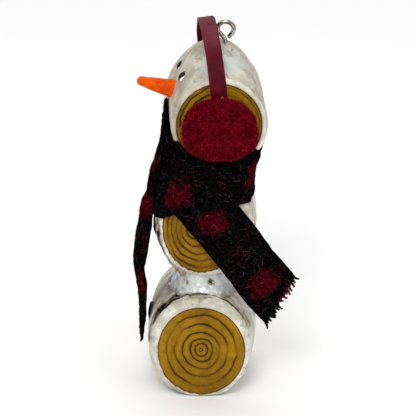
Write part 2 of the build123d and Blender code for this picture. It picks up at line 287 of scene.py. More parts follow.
def painted_log_material():
    """White-washed bark, its splits dark with stain and painted shade, and ochre end grain with stained,
    carved rings, edged by a line of painted shade.
    """
    s = Shader("painted_log", roughness=0.5, Specular_IOR_Level=0.1)
    broad = s.noise(7.0, detail=4, distortion=0.6)
    fine = s.noise(1.7, detail=5, distortion=0.4)
    speck = s.noise(0.45, detail=3)
    clean = s.fade(broad, 0.38, 0.62, "E6E5DC", "CBC6B6")
    beige = s.fade(broad, 0.36, 0.64, "CAC4B4", "ABA38F")
    cloudy = s.swing(broad, 0.6)
    paint = s.mix(s.between(s.plus(s.attribute("aged"), cloudy), 0.0, 1.0), clean, beige)
    paint = s.mix(s.times(s.between(fine, 0.48, 0.72), 0.45), paint, "A0977F")
    bare = s.attribute("bare")
    blue = s.fade(broad, 0.35, 0.65, "C9CCC4", "B1B5AD")
    paint = s.mix(s.between(bare, -0.03, 0.12), paint, blue)
    border = s.math("ABSOLUTE", s.plus(bare, s.times(fine, 0.06)))
    # A broken, darker line round the edge of the bare patch.
    patch_edge = s.between(border, 0.0, 0.05, 0.45, 0.0)
    paint = s.mix(s.times(patch_edge, s.between(fine, 0.4, 0.6)), paint, "7A6248")
    wash = s.attribute("wash")
    # The darkest marks on the bottom and middle logs are partly stain and partly painted shade.
    stain = s.plus(wash, s.swing(fine, 0.9))
    paint = s.mix(s.between(stain, 0.12, 0.6), paint, "85765F")
    paint = s.mix(s.between(stain, 0.5, 0.85), paint, "14100D")
    turn = s.math("FRACT", s.plus(s.attribute("ring"), 0.5))
    near = s.times(s.math("ABSOLUTE", s.math("SUBTRACT", turn, 0.5)), s.attribute("ring_gap"))
    near = s.plus(near, s.swing(speck, 0.25))
    line = s.plus(s.between(near, 0.10, 0.38, 0.68, 0.0), s.between(near, 0.2, 1.0, 0.28, 0.0))
    line = s.times(line, s.attribute("ring_gain"))
    wood = s.fade(broad, 0.35, 0.65, "A07508", "876105")
    wood = s.mix(s.times(s.between(fine, 0.46, 0.7), 0.45), wood, "694A08")
    wood = s.mix(s.times(s.between(speck, 0.5, 0.75), 0.35), wood, "AE8213")
    wood = s.mix(s.attribute("shade"), wood, "6A4604")
    wood = s.mix(line, wood, "342002")
    edge = s.attribute("edge")
    rag = s.swing(s.noise(1.5, detail=4), s.attribute("ragged"))
    edge = s.plus(edge, rag)
    # A dark line of painted shade where the sunk end grain meets the painted rim.
    rim_shade_line = s.between(s.math("ABSOLUTE", s.plus(edge, 0.12)), 0.06, 0.34, 0.8, 0.0)
    wood = s.mix(rim_shade_line, wood, "33200A")
    base = s.mix(s.between(edge, -0.05, 0.05), wood, paint)
    bump = s.plus(s.times(fine, 0.7), s.times(speck, 0.35))
    rough = s.between(bare, -0.05, 0.1, 0.55, 0.3)
    return s.finish(base, bump, depth=0.16, roughness=rough)


def snow_material():
    """Thick glossy snow, bluish white, grey in its pits."""
    s = Shader("glazed_snow", roughness=0.25, Coat_Weight=0.5, Coat_Roughness=0.1)
    cloud = s.noise(3.2, detail=4, distortion=0.8)
    fine = s.noise(0.8, detail=4)
    base = s.fade(cloud, 0.38, 0.62, "D0D5D3", "B2B8B8")
    stain = s.plus(s.attribute("wash"), s.swing(fine, 0.8))
    base = s.mix(s.between(stain, 0.2, 0.55), base, "8A8074")
    base = s.mix(s.between(stain, 0.6, 0.9), base, "2A2522")
    return s.finish(base, s.plus(cloud, s.times(fine, 0.4)), depth=0.14)


def nose_material():
    s = Shader("carrot_orange", roughness=0.45, Specular_IOR_Level=0.05)
    streak = s.noise(1.3, detail=4, stretch=(0.35, 1, 1))
    fine = s.noise(0.35, detail=3)
    base = s.fade(streak, 0.35, 0.7, "EC5E00", "D44300")
    base = s.mix(s.attribute("wash"), base, "A83402")
    return s.finish(base, s.plus(streak, s.times(fine, 0.3)), depth=0.1)


def strap_material():
    """Burgundy vinyl, with a painted highlight, lighter and greyer, over the top of the arch."""
    s = Shader("burgundy_vinyl", roughness=0.42, Specular_IOR_Level=0.07)
    cloud = s.noise(4.0, detail=3)
    grain = s.noise(0.3, detail=3)
    base = s.fade(cloud, 0.35, 0.7, "5A071A", "460511")
    # Painted highlight: lighter and greyer over the top of the arch.
    base = s.mix(s.attribute("wash"), base, "783A44")
    return s.finish(base, grain, depth=0.05, roughness=s.between(cloud, 0.3, 0.7, 0.34, 0.5))


def fluff_material():
    """Red pompom yarn, each fibre a little lighter or darker."""
    s = Shader("red_fluff", roughness=1.0, Specular_IOR_Level=0.03)
    clump = s.noise(1.8, detail=3)
    tone = s.attribute("tone")
    base = s.mix(tone, "3C000A", "C01A30")
    base = s.mix(s.times(s.between(clump, 0.45, 0.7), 0.5), base, "480009")
    return s.finish(base, s.noise(0.25, detail=2), depth=0.08)


def scarf_material():
    """Boiled wool in a black and dark red buffalo check, its squares soft at their edges."""
    s = Shader("checked_wool", roughness=1.0, Specular_IOR_Level=0.0)
    strands = s.noise(0.55, detail=4, stretch=(1.0, 1.0, 0.3), distortion=1.5)
    cross = s.noise(0.55, detail=4, stretch=(0.35, 0.35, 1.0), distortion=1.5)
    lint = s.math("MAXIMUM", strands, cross)
    patch = s.noise(1.9, detail=6, distortion=1.0, rough=0.6)
    fuzz = s.swing(patch, 2.0)
    red = s.between(s.plus(s.attribute("check"), fuzz), 0.25, 0.9)
    black = s.fade(lint, 0.5, 0.75, "030304", "1B1A1B")
    crimson = s.fade(lint, 0.45, 0.7, "200105", "600A17")
    base = s.mix(red, black, crimson)
    pale = s.times(s.between(lint, 0.64, 0.78), s.between(patch, 0.45, 0.65, 0.05, 0.5))
    base = s.mix(pale, base, "5C5857")
    return s.finish(base, lint, depth=0.45)


def fibre_material():
    """Loose wool fibres, from black through dark red to pale grey."""
    s = Shader("stray_wool", roughness=1.0, Specular_IOR_Level=0.05)
    tone = s.attribute("tone")
    base = s.fade(tone, 0.2, 0.45, "060607", "560917")
    base = s.mix(s.between(tone, 0.6, 0.95), base, "8C8683")
    return s.finish(base, s.noise(0.2), depth=0.03)


def bead_material():
    """Glossy black bead with a white glint low on its left side."""
    s = Shader("black_bead", roughness=0.22, Specular_IOR_Level=0.25, Coat_Weight=0.1, Coat_Roughness=0.05)
    base = s.fade(s.noise(0.6, detail=3), 0.3, 0.7, "030304", "0C0C0D")
    base = s.mix(s.between(s.attribute("glint"), 0.4, 0.55), base, "F4F4F2")
    return s.finish(base, s.noise(0.5), depth=0.02)


def coal_material():
    s = Shader("black_coal", roughness=0.55)
    base = s.fade(s.noise(0.8, detail=4), 0.35, 0.7, "070707", "242220")
    return s.finish(base, s.noise(0.6, detail=5), depth=0.2)


def nickel_material():
    s = Shader("bright_nickel", roughness=0.16, Metallic=1.0)
    film = s.noise(0.9, detail=3)
    base = s.fade(film, 0.4, 0.65, "B9B4AA", "7A746A")
    return s.finish(base, film, depth=0.03, roughness=s.between(film, 0.35, 0.7, 0.1, 0.28))


def glue_material():
    s = Shader("dried_glue", roughness=0.25, Subsurface_Weight=0.2)
    base = s.fade(s.noise(1.2), 0.35, 0.65, "EFEAE0", "CFC3A8")
    return s.finish(base, s.noise(0.8), depth=0.1)


def dowel_material():
    s = Shader("birch_dowel", roughness=0.7)
    grain = s.noise(1.0, detail=5, stretch=(1, 1, 0.12))
    base = s.fade(grain, 0.4, 0.65, "D8B888", "AE8650")
    return s.finish(base, grain, depth=0.08)


def floor_material():
    s = Shader("pale_floor", roughness=0.9)
    base = s.mix(s.noise(60.0, detail=2), "FCFCFC", "FEFEFE")
    return s.finish(base)


# ---- logs ----


def outline_radius(name, angle, share):
    """Distance from a log's axis to its bark, at an angle from its back, at a share of its length."""
    log = LOGS[name]
    if name == "head_log":
        offset = np.abs((np.degrees(angle) - CROWN_DIRECTION + 180) % 360 - 180)
        lobe = np.cos(np.radians(90 * np.minimum(offset / CROWN_SPREAD, 1.0))) ** 2
        return log["width"] + CROWN_RISE * (1 - share**2) * lobe
    wide = log["width"] - RIM_STEP * share**2
    high = log["height"] - RIM_STEP * share**2
    power = np.where(np.sin(angle) < 0, 2.15, 2.0)
    reach = (np.abs(np.cos(angle)) / wide) ** power + (np.abs(np.sin(angle)) / high) ** power
    radius = reach ** (-1 / power)
    if name == "bottom_log":
        flat = log["centre"][1] / np.maximum(-np.sin(angle), 1e-3)
        radius = -np.log(np.exp(-radius * 2.2) + np.exp(-np.minimum(flat, 60) * 2.2)) / 2.2
    return radius


def log_point(name, radius, angle, along):
    """Points in the part's frame from a log's own radius, angle and distance along its axis."""
    log = LOGS[name]
    turn = math.radians(log["turn"])
    across = radius * np.cos(angle)
    x = log["centre"][0] + across * math.cos(turn) + along * math.sin(turn)
    y = along * math.cos(turn) - across * math.sin(turn)
    z = log["centre"][1] + radius * np.sin(angle)
    return np.stack([x, y, z], axis=-1)


# Each end grain: its centre from the log's axis (to the back, up), its half width and half height,
# where its pith lies from that centre, and its growth rings as shares of the way out to its edge.
ENDS = {
    "bottom_log": dict(centre=(0.45, -1.02), half=(13.25, 14.1), pith=(-0.1, 0.4),
                       rings=(0.03, 0.143, 0.25, 0.418, 0.597, 0.79, 1.2)),
    "middle_log": dict(centre=(-1.1, -0.3), half=(11.8, 13.95), pith=(-2.6, -0.8),
                       rings=(0.03, 0.19, 0.38, 0.56, 0.72, 0.86, 1.2)),
    "head_log": dict(centre=(-0.2, 0.0), half=(12.75, 12.95), pith=(0.6, -0.8),
                     rings=(0.04, 0.16, 0.30, 0.45, 0.61, 0.765, 0.905, 1.2)),
}


# The direction, from the log's back, in which the paint laps raggedly over the end grain.
RAGGED = {
    "bottom_log": math.radians(235),
    "middle_log": math.radians(262),
    "head_log": math.radians(165),
}


def disc_radius(name, angle):
    """Distance from a log's axis to the edge of its end grain."""
    (cx, cz), (a, b) = ENDS[name]["centre"], ENDS[name]["half"]
    x, z = np.cos(angle), np.sin(angle)
    square = (x / a) ** 2 + (z / b) ** 2
    reach = x * cx / a**2 + z * cz / b**2
    return (reach + np.sqrt(reach**2 - square * ((cx / a) ** 2 + (cz / b) ** 2 - 1))) / square


def end_grain(name, radius, angle, side):
    """Growth rings over an end: ring number, millimetres per ring, stain strength and groove depth."""
    end = ENDS[name]
    half = np.array(end["half"])
    spot = np.stack([radius * np.cos(angle), radius * np.sin(angle)], axis=-1)
    pith = np.array(end["pith"]) / half
    away = (spot - end["centre"]) / half - pith
    slant = away @ pith
    room = 1 - pith @ pith
    reach = np.linalg.norm(away, axis=-1) + 1e-6
    share = (slant + np.sqrt(slant**2 + room * reach**2)) / room
    scale = reach / share * half.mean()
    place = np.column_stack([spot, np.full(len(spot), side * 30.0)])
    seed = 11 + len(name) + int(side > 0) * 7
    waves = 0.42 * value_noise(place, 3.6, seed) + 0.2 * value_noise(place, 1.3, seed + 1)
    share = share + waves * smooth_step(0.0, 0.3, share) / scale
    rings = np.array(end["rings"])
    number = np.interp(share, rings, np.arange(len(rings)))
    number = np.where(share < rings[0], share / rings[0] - 1, number)
    gap = np.interp(share, rings, np.gradient(rings)) * scale
    gain = 0.35 + 0.65 * smooth_step(-0.55, 0.0, value_noise(place, 6.5, seed + 2))
    near = np.abs(number - np.round(number)) * gap
    return number, gap, gain, np.exp(-((near / 0.3) ** 2)) * gain


def log_piece(name, material, cracks):
    """A carved log: two sunk, ringed end faces, soft rims, and undulating painted bark."""
    log = LOGS[name]
    columns = 300
    angle = full_turn(columns)
    disc_rows, rim_rows, bark_rows = 62, 9, 76
    seed = {"bottom_log": 3, "middle_log": 5, "head_log": 8}[name]
    keys = ("point", "edge", "ring", "ring_gap", "ring_gain", "shade", "ragged")
    rows = {key: [] for key in keys}

    def add_row(radius, along, edge, ring=0.5, gap=1.0, gain=0.0, shade=0.0, ragged=0.0):
        values = (log_point(name, radius, angle, along), edge, ring, gap, gain, shade, ragged)
        for key, value in zip(keys, values):
            rows[key].append(value if key == "point" else np.broadcast_to(value, columns).copy())

    outer = outline_radius(name, angle, 1.0)
    disc = disc_radius(name, angle)
    soft = np.clip(outer - disc - 0.2, 0.35, RIM_ROUND)
    for side in (-1, 1):
        circle = np.stack([np.cos(angle), np.sin(angle), np.full(columns, side * 2.0)], axis=-1)
        lip = disc + 0.10 * value_noise(circle, 0.7, seed) + 0.05 * value_noise(circle, 0.2, seed)
        lip = np.minimum(lip, outer - soft - 0.1)
        ragged = 0.15 + 0.8 * smooth_step(0.1, 0.8, np.cos(angle - RAGGED[name]))
        low_shade = 0.35 * smooth_step(0.2, 1.0, -np.sin(angle))
        face = []
        for share in np.linspace(0.004, 1, disc_rows):
            radius = share * lip
            ring, gap, gain, groove = end_grain(name, radius, angle, side)
            dish = DISC_SUNK - 0.1 * (1 - share**2) + GROOVE_DEPTH * groove
            apart = np.full(columns, side * 9.0)
            place = np.column_stack([radius * np.cos(angle), apart, radius * np.sin(angle)])
            dish = dish + 0.05 * fractal_noise(place, 2.2, seed + 4)
            shade = low_shade * share + 0.35 * smooth_step(0.1, 0.8, value_noise(place, 6.0, seed + 6))
            along = side * (log["length"] - dish)
            face.append((radius, along, radius - lip, ring, gap, gain, shade, ragged))
        for k in range(2):
            along = side * (log["length"] - DISC_SUNK * (0.45 - 0.4 * k))
            face.append((lip + 0.05 * (k + 1), along, 0.05 * (k + 1), 0.5, 1.0, 0.0, 0.0, ragged))
        for k in range(rim_rows):
            bend = math.radians(90 * (k + 0.5) / rim_rows)
            radius = outer - soft * (1 - math.sin(bend))
            along = side * (log["length"] - soft * (1 - math.cos(bend)))
            face.append((radius, along, radius - lip, 0.5, 1.0, 0.0, 0.0, ragged))
        if side < 0:
            for row in face:
                add_row(*row)
            for share in np.linspace(-1, 1, bark_rows):
                along = share * (log["length"] - soft)
                add_row(outline_radius(name, angle, along / log["length"]), along, 5.0)
        else:
            for row in reversed(face):
                add_row(*row)

    points = np.array(rows["point"])
    shape = points.shape[:2]
    flat = points.reshape(-1, 3)
    paint = smooth_step(0.1, 1.6, np.array(rows["edge"])).ravel()
    swell = 0.20 * fractal_noise(flat, 9.0, seed) + 0.10 * fractal_noise(flat, 2.4, seed + 3) - 0.12
    hollow = smooth_step(0.1, 0.75, fractal_noise(flat * [1.0, 0.45, 1.0], 4.2, seed + 9))
    along = flat[:, 1] / log["length"]
    around = np.degrees(np.tile(angle, shape[0])) % 360
    crack, dark = cracks(along, around, flat)
    centre = np.array([log["centre"][0], 0, log["centre"][1]])
    outward = unit((flat - centre) * [1, 0, 1])
    lift = paint * (swell - 0.22 * hollow) - crack
    moved = flat + outward * lift[:, None]
    moved[:, 2] = np.maximum(moved[:, 2], 0.0)
    # Stain settles in the hollows; on the bottom and middle logs the splits' dark marks are partly painted
    # shade.
    wash = paint * (0.30 * hollow + dark)
    vertices, faces = ring_solid(moved.reshape(points.shape))
    attributes = {key: np.array(rows[key]).ravel() for key in keys[1:]}
    attributes["wash"] = wash
    attributes["bare"] = bare_patch(name, flat)
    lower_left = smooth_step(0.2, 0.9, np.cos(np.radians(around) - RAGGED[name]))
    aged = {"bottom_log": 0.45, "middle_log": 0.35, "head_log": 0.8}[name]
    attributes["aged"] = np.where(np.abs(along) > 0.93, 0.7 * aged * (0.4 + 1.6 * lower_left), aged)
    attributes = {key: np.append(values, [values[0], values[-1]]) for key, values in attributes.items()}
    piece = make_object(name + "_carved", vertices, faces, material, attributes)
    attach(piece, "snowman")
    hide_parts(name)


def bare_patch(name, points):
    """Where the head's crown keeps its smooth blue-white paint, round the strap."""
    if name != "head_log":
        return np.zeros(len(points))
    wander = 0.35 * fractal_noise(points, 5.0, 37)
    across = (points[:, 0] - 6.4 - 0.12 * (points[:, 1] + 9)) / 6.3 + wander
    along = (points[:, 1] + 8.5) / 8.2 + wander
    inside = 1 - np.sqrt(across**2 + along**2)
    return np.where(points[:, 2] > LOGS[name]["centre"][1], inside, -1.0)


def band(value, centre, half_width):
    return np.exp(-(((value - centre) / half_width) ** 2))


# Turns points away from the axes, so that the noise on the dark splits shows no blocks.
SKEW = np.array([[0.80, 0.48, 0.36], [-0.60, 0.64, 0.48], [0.0, -0.60, 0.80]])


def bottom_split_and_shade(along, around, points):
    """A split behind the near rim, stained and thin on top, wide and black in front, where it is partly stain
    and partly painted shade.
    """
    wander = 0.04 * fractal_noise(points @ SKEW, 3.0, 31)
    front = smooth_step(95, 120, around) * smooth_step(215, 190, around)
    top = smooth_step(25, 50, around) * smooth_step(215, 190, around)
    thin = band(along + wander, -0.80, 0.022) * top
    # The wide front band is partly stain and partly painted shade.
    wide = band(along + wander, -0.66, 0.13) * front
    wide = wide * (0.5 + 0.5 * smooth_step(-0.8, 0.3, fractal_noise(points @ SKEW, 2.2, 39, octaves=4)))
    right = band(along + 2 * wander, -0.72, 0.1) * smooth_step(75, 60, around) * smooth_step(5, 25, around)
    return 0.3 * thin + 0.35 * wide + 0.2 * right, 0.75 * thin + 1.0 * wide + 0.45 * right


def middle_stain_and_shade(along, around, points):
    """A dark band behind the near rim at the front, and a greyer rim below it, both partly stain and partly
    painted shade.
    """
    wander = 0.09 * fractal_noise(points @ SKEW, 3.0, 33)
    # The front band behind the near rim is partly stain and partly painted shade.
    front_stain_and_shade = band(along + wander, -0.74, 0.26) * smooth_step(140, 165, around) * smooth_step(222, 190, around)
    front_stain_and_shade = front_stain_and_shade * smooth_step(-0.9, 0.5, fractal_noise(points @ SKEW, 2.0, 38, octaves=4))
    rim = band(along + wander, -0.84, 0.03) * smooth_step(-0.2, 0.5, value_noise(points, 5.0, 34))
    # The greyer lower front of the near rim is partly stain and partly painted shade.
    lip = smooth_step(155, 185, around) * smooth_step(266, 240, around) * smooth_step(-0.86, -0.95, along)
    return 0.15 * front_stain_and_shade + 0.15 * rim, 1.15 * front_stain_and_shade + 0.4 * rim + 0.46 * lip


def head_cracks(along, around, points):
    """Faint beige scratches over the crown."""
    wander = 0.2 * value_noise(points, 4.0, 35)
    lines = band(np.sin(along * 9 + wander * 12), 0.0, 0.09)
    lines = lines * smooth_step(0.2, 0.7, value_noise(points, 4.0, 36))
    return 0.08 * lines, 0.3 * lines


# ---- snow, nose, eyes, buttons ----


def snow_neck(name, material, centre_x, foot, top, low, high, pits):
    """Snow pressed into a notch: a lumpy glossy collar that flares over the log below."""
    rows, columns = 64, 220
    angle = full_turn(columns)
    rings = []
    for share in np.linspace(0, 1, rows):
        flare = (1 - share) ** 2 + 0.25 * share**3
        half_x = top[0] + (foot[0] - top[0]) * flare
        half_y = top[1] + (foot[1] - top[1]) * flare
        x = centre_x + half_x * np.sign(np.cos(angle)) * np.abs(np.cos(angle)) ** 0.85
        y = half_y * np.sign(np.sin(angle)) * np.abs(np.sin(angle)) ** 0.85
        rings.append(np.stack([x, y, np.full(columns, low + share * (high - low))], axis=-1))
    points = np.array(rings).reshape(-1, 3)
    outward = unit((points - [centre_x, 0, 0]) * [1, 1, 0])
    lift = 0.45 * fractal_noise(points, 3.4, 41) + 0.12 * fractal_noise(points, 1.1, 43)
    wash = 0.2 * smooth_step(0.15, 0.8, fractal_noise(points, 2.6, 45))
    wash += 0.5 * smooth_step(0.28, 0.0, (points[:, 2] - low) / (high - low))
    for spot in pits:
        near = np.exp(-((np.linalg.norm(points - spot[:3], axis=1) / spot[3]) ** 2))
        lift -= 0.5 * near
        wash += 1.0 * near
    points = points + outward * lift[:, None]
    piece = solid_object(name + "_glazed", points.reshape(rows, columns, 3), material, wash=wash)
    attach(piece, "snowman")
    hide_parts(name)


# The nose's rise in degrees, its length outside the head, its tip (y, z), and its radii.
NOSE_RISE = 16.0
NOSE_LENGTH = 11.0
NOSE_TIP = (-1.15, 94.75)
NOSE_TIP_RADIUS = 1.15
NOSE_ROOT_RADIUS = 3.05


def carrot_nose(material):
    """A whittled carrot: flat knife facets, a blunt tip, and shallow rings near its root."""
    low = np.array(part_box("carrot_nose")[0]) / MM
    turn = math.radians(LOGS["head_log"]["turn"])
    rise = math.radians(NOSE_RISE)
    forward = np.array([-math.cos(turn) * math.cos(rise), math.sin(turn) * math.cos(rise), math.sin(rise)])
    side = unit(np.cross(forward, [0, 0, 1]))
    up = np.cross(side, forward)
    tip = np.array([low[0] + 0.15, NOSE_TIP[0], NOSE_TIP[1]])
    length = NOSE_LENGTH + 2.4
    rows, columns = 90, 96
    angle = full_turn(columns)
    rings, wash = [], []
    for share in np.linspace(0, 1, rows):
        radius = NOSE_TIP_RADIUS + (NOSE_ROOT_RADIUS - NOSE_TIP_RADIUS) * share**0.9
        round_tip = math.sqrt(max(1 - max(1 - share * length / 1.2, 0) ** 2, 0.0))
        facets = 1 - 0.035 * np.abs(np.sin(angle * 3.5 + 2.2 * share))
        centre = tip - forward * (share * length)
        around = side * np.cos(angle)[:, None] + up * np.sin(angle)[:, None] * 1.04
        ring = centre + around * (radius * round_tip * facets)[:, None]
        rings.append(ring)
        notch = band(share, 0.62, 0.012) + band(share, 0.72, 0.012) + 0.5 * band(share, 0.45, 0.01)
        gain = smooth_step(-0.1, 0.5, value_noise(ring, 2.0, 52))
        wash.append(0.5 * notch * gain)
    points = np.array(rings).reshape(-1, 3)
    wash = np.array(wash).ravel()
    middle = np.repeat([ring.mean(axis=0) for ring in rings], columns, axis=0)
    outward = unit(points - middle)
    points = points + outward * (0.07 * fractal_noise(points, 1.4, 51) - 0.12 * wash)[:, None]
    rings = points.reshape(rows, columns, 3)
    piece = solid_object("carrot_nose_whittled", rings, material, inside_out=True, wash=wash)
    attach(piece, "snowman")
    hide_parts("carrot_nose")


# An eye's shift from the middle of its box, its reach, how deep it sits, and where its glint is.
BEAD_SHIFT = (0.45, -1.4, -0.25)
BEAD_HALF_WIDTH = 1.85
BEAD_HALF_HEIGHT = 1.75
BEAD_DOME = 1.3
BEAD_SUNK = 0.35
GLINT_WAY = (0.3, -0.75, -0.55)


def eye_bead(name, material):
    """A squashed bead set into the head, with a white glint low on its left side."""
    low, high = (np.array(corner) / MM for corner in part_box(name))
    centre = (low + high) / 2 + BEAD_SHIFT
    head = np.array([LOGS["head_log"]["centre"][0], centre[1], LOGS["head_log"]["centre"][1]])
    out = unit(centre - head)
    side = unit(np.cross(out, [0, 1, 0]))
    other = np.cross(out, side)
    rows, columns = 40, 64
    angle = full_turn(columns)
    rings = []
    for latitude in np.linspace(2, 178, rows):
        tilt = math.radians(latitude)
        wide = side * np.cos(angle)[:, None] * BEAD_HALF_WIDTH
        tall = other * np.sin(angle)[:, None] * BEAD_HALF_HEIGHT
        dome = out * (BEAD_DOME * math.cos(tilt))
        rings.append(centre - out * BEAD_SUNK + (wide + tall) * math.sin(tilt) + dome)
    points = np.array(rings).reshape(-1, 3)
    offset = (points - centre) @ unit(np.array(GLINT_WAY))
    glint = smooth_step(1.12, 1.28, offset)
    piece = solid_object(name + "_bead", points.reshape(rows, columns, 3), material, glint=glint)
    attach(piece, "snowman")
    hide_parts(name)


def coal_button(name, material):
    """A slightly domed chip of coal with a broken edge and a pitted face."""
    low, high = (np.array(corner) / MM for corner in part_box(name))
    centre = (low + high) / 2
    columns = 90
    angle = full_turn(columns)
    radius = (high[2] - low[2]) / 2
    front, back = low[0] + 0.1, high[0] - 0.1
    profile = [(share, front + 0.7 * share**2) for share in np.linspace(0.02, 0.9, 16)]
    profile += [
        (0.9 + 0.1 * math.sin(t), front + 0.6 + 0.5 * (1 - math.cos(t)))
        for t in np.linspace(0.2, 1.57, 6)
    ]
    profile += [(1.0, x) for x in np.linspace(front + 1.2, back, 4)]
    profile += [(share, back) for share in (0.7, 0.4, 0.05)]
    chips = 1 + 0.05 * value_noise(np.stack([np.cos(angle), np.sin(angle), 0 * angle], -1), 0.45, 61)
    rings = [
        np.stack([np.full(columns, x), centre[1] + share * radius * chips * np.cos(angle),
                  centre[2] + share * radius * chips * np.sin(angle)], axis=-1)
        for share, x in profile
    ]
    points = np.array(rings)
    flat = points.reshape(-1, 3)
    flat = flat + [[-0.12, 0, 0]] * fractal_noise(flat, 1.3, 62)[:, None]
    piece = solid_object(name + "_coal", flat.reshape(points.shape), material, inside_out=True)
    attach(piece, "snowman")
    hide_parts(name)


# The middle line (x, z) and radius of a run of paint under the middle log's near rim, and its y.
DRIP_PATH = np.array([
    (-10.7, 42.0, 0.25), (-9.7, 40.7, 0.4), (-8.1, 39.1, 0.6), (-6.6, 38.0, 0.95), (-5.8, 36.9, 1.15),
])
DRIP_SIDE = -13.45


def paint_drip(material):
    """A run of paint along the rim that gathers into a drop."""
    path, place = smooth_path(DRIP_PATH, 40)
    radius = path[:, 2] * np.sqrt(np.clip(1 - np.clip(1 - (place[-1] - place) / 0.9, 0, 1) ** 2, 0.02, 1))
    line = np.stack([path[:, 0], np.full(40, DRIP_SIDE), path[:, 1]], axis=-1)
    vertices, faces = thin_tubes(line[None], radius[None], sides=24)
    vertices = vertices + 0.1 * value_noise(vertices, 0.8, 64)[:, None]
    looks = {"edge": 5.0, "wash": 0.56, "bare": -1.0, "aged": 0.9}
    attributes = {key: np.full(len(vertices), value) for key, value in looks.items()}
    piece = make_object("paint_drip", vertices, faces, material, attributes)
    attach(piece, "snowman")


# ---- headband and earmuffs ----
# The strap's turn and lean in degrees, its shift to the back, and its arch over the ears' height.
STRAP_TURN = -5.2
STRAP_LEAN = 5.6
STRAP_BACK = -1.34
EAR_HEIGHT = 98.0
STRAP_SPAN = 19.1
STRAP_ARCH = 14.65
STRAP_DROP = 13.0
STRAP_WIDTH = 4.9
STRAP_THICKNESS = 1.0


def headband(material):
    """The vinyl strap: one flat strip bent over the head, its corners soft and its edges uneven."""
    turn, lean = math.radians(STRAP_TURN), math.radians(STRAP_LEAN)
    back = np.array([math.cos(turn), -math.sin(turn), 0.0])
    along = np.array([math.sin(turn), math.cos(turn), 0.0])
    normal = back * math.cos(lean) + np.array([0, 0, math.sin(lean)])
    up = np.array([0, 0, math.cos(lean)]) - back * math.sin(lean)
    head = LOGS["head_log"]["centre"]
    origin = np.array([head[0], 0, EAR_HEIGHT]) + back * STRAP_BACK
    path = [(-STRAP_SPAN, height) for height in np.linspace(-STRAP_DROP, -0.5, 40)]
    path += [
        (-STRAP_SPAN * math.cos(t), STRAP_ARCH * math.sin(t)) for t in np.linspace(0, math.pi, 150)
    ]
    path += [(STRAP_SPAN, height) for height in np.linspace(-0.5, -STRAP_DROP, 40)]
    path = np.array(path)
    tangent = unit(np.gradient(path, axis=0))
    outward = np.stack([-tangent[:, 1], tangent[:, 0]], axis=-1)
    half, thick, soft = STRAP_WIDTH / 2, STRAP_THICKNESS / 2, 0.28
    section = []
    for corner_x, corner_y, start in ((1, 1, 0), (-1, 1, 90), (-1, -1, 180), (1, -1, 270)):
        for t in np.linspace(start, start + 90, 6):
            section.append((corner_x * (half - soft) + soft * math.cos(math.radians(t)),
                            corner_y * (thick - soft) + soft * math.sin(math.radians(t))))
    dense = []
    for a, b in zip(section, section[1:] + section[:1]):
        pieces = max(int(math.dist(a, b) / 0.35), 1)
        dense += [tuple(np.array(a) + (np.array(b) - a) * k / pieces) for k in range(pieces)]
    section = np.array(dense)
    rings = []
    for (p, q), (m, n) in zip(path, outward):
        centre = origin + along * p + up * q
        out = along * m + up * n
        rings.append(centre + normal * section[:, :1] + out * section[:, 1:])
    points = np.array(rings)
    flat = points.reshape(-1, 3)
    sway = 0.10 * fractal_noise(flat * [0.2, 1, 1], 6.0, 71)
    flat = flat + normal * sway[:, None]
    flat = flat + unit(flat - origin) * (0.05 * fractal_noise(flat, 2.0, 72))[:, None]
    # A painted highlight over the top of the arch.
    top = smooth_step(EAR_HEIGHT + 7, EAR_HEIGHT + 15, flat[:, 2]) * 0.35
    piece = solid_object("headband_strap", flat.reshape(points.shape), material, wash=top)
    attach(piece, "snowman")
    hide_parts("headband")


FLUFF_REACH = (11.55, 6.3, 9.6)
FLUFF_FIBRES = 9000
FLUFF_FIBRE_RADIUS = 0.075


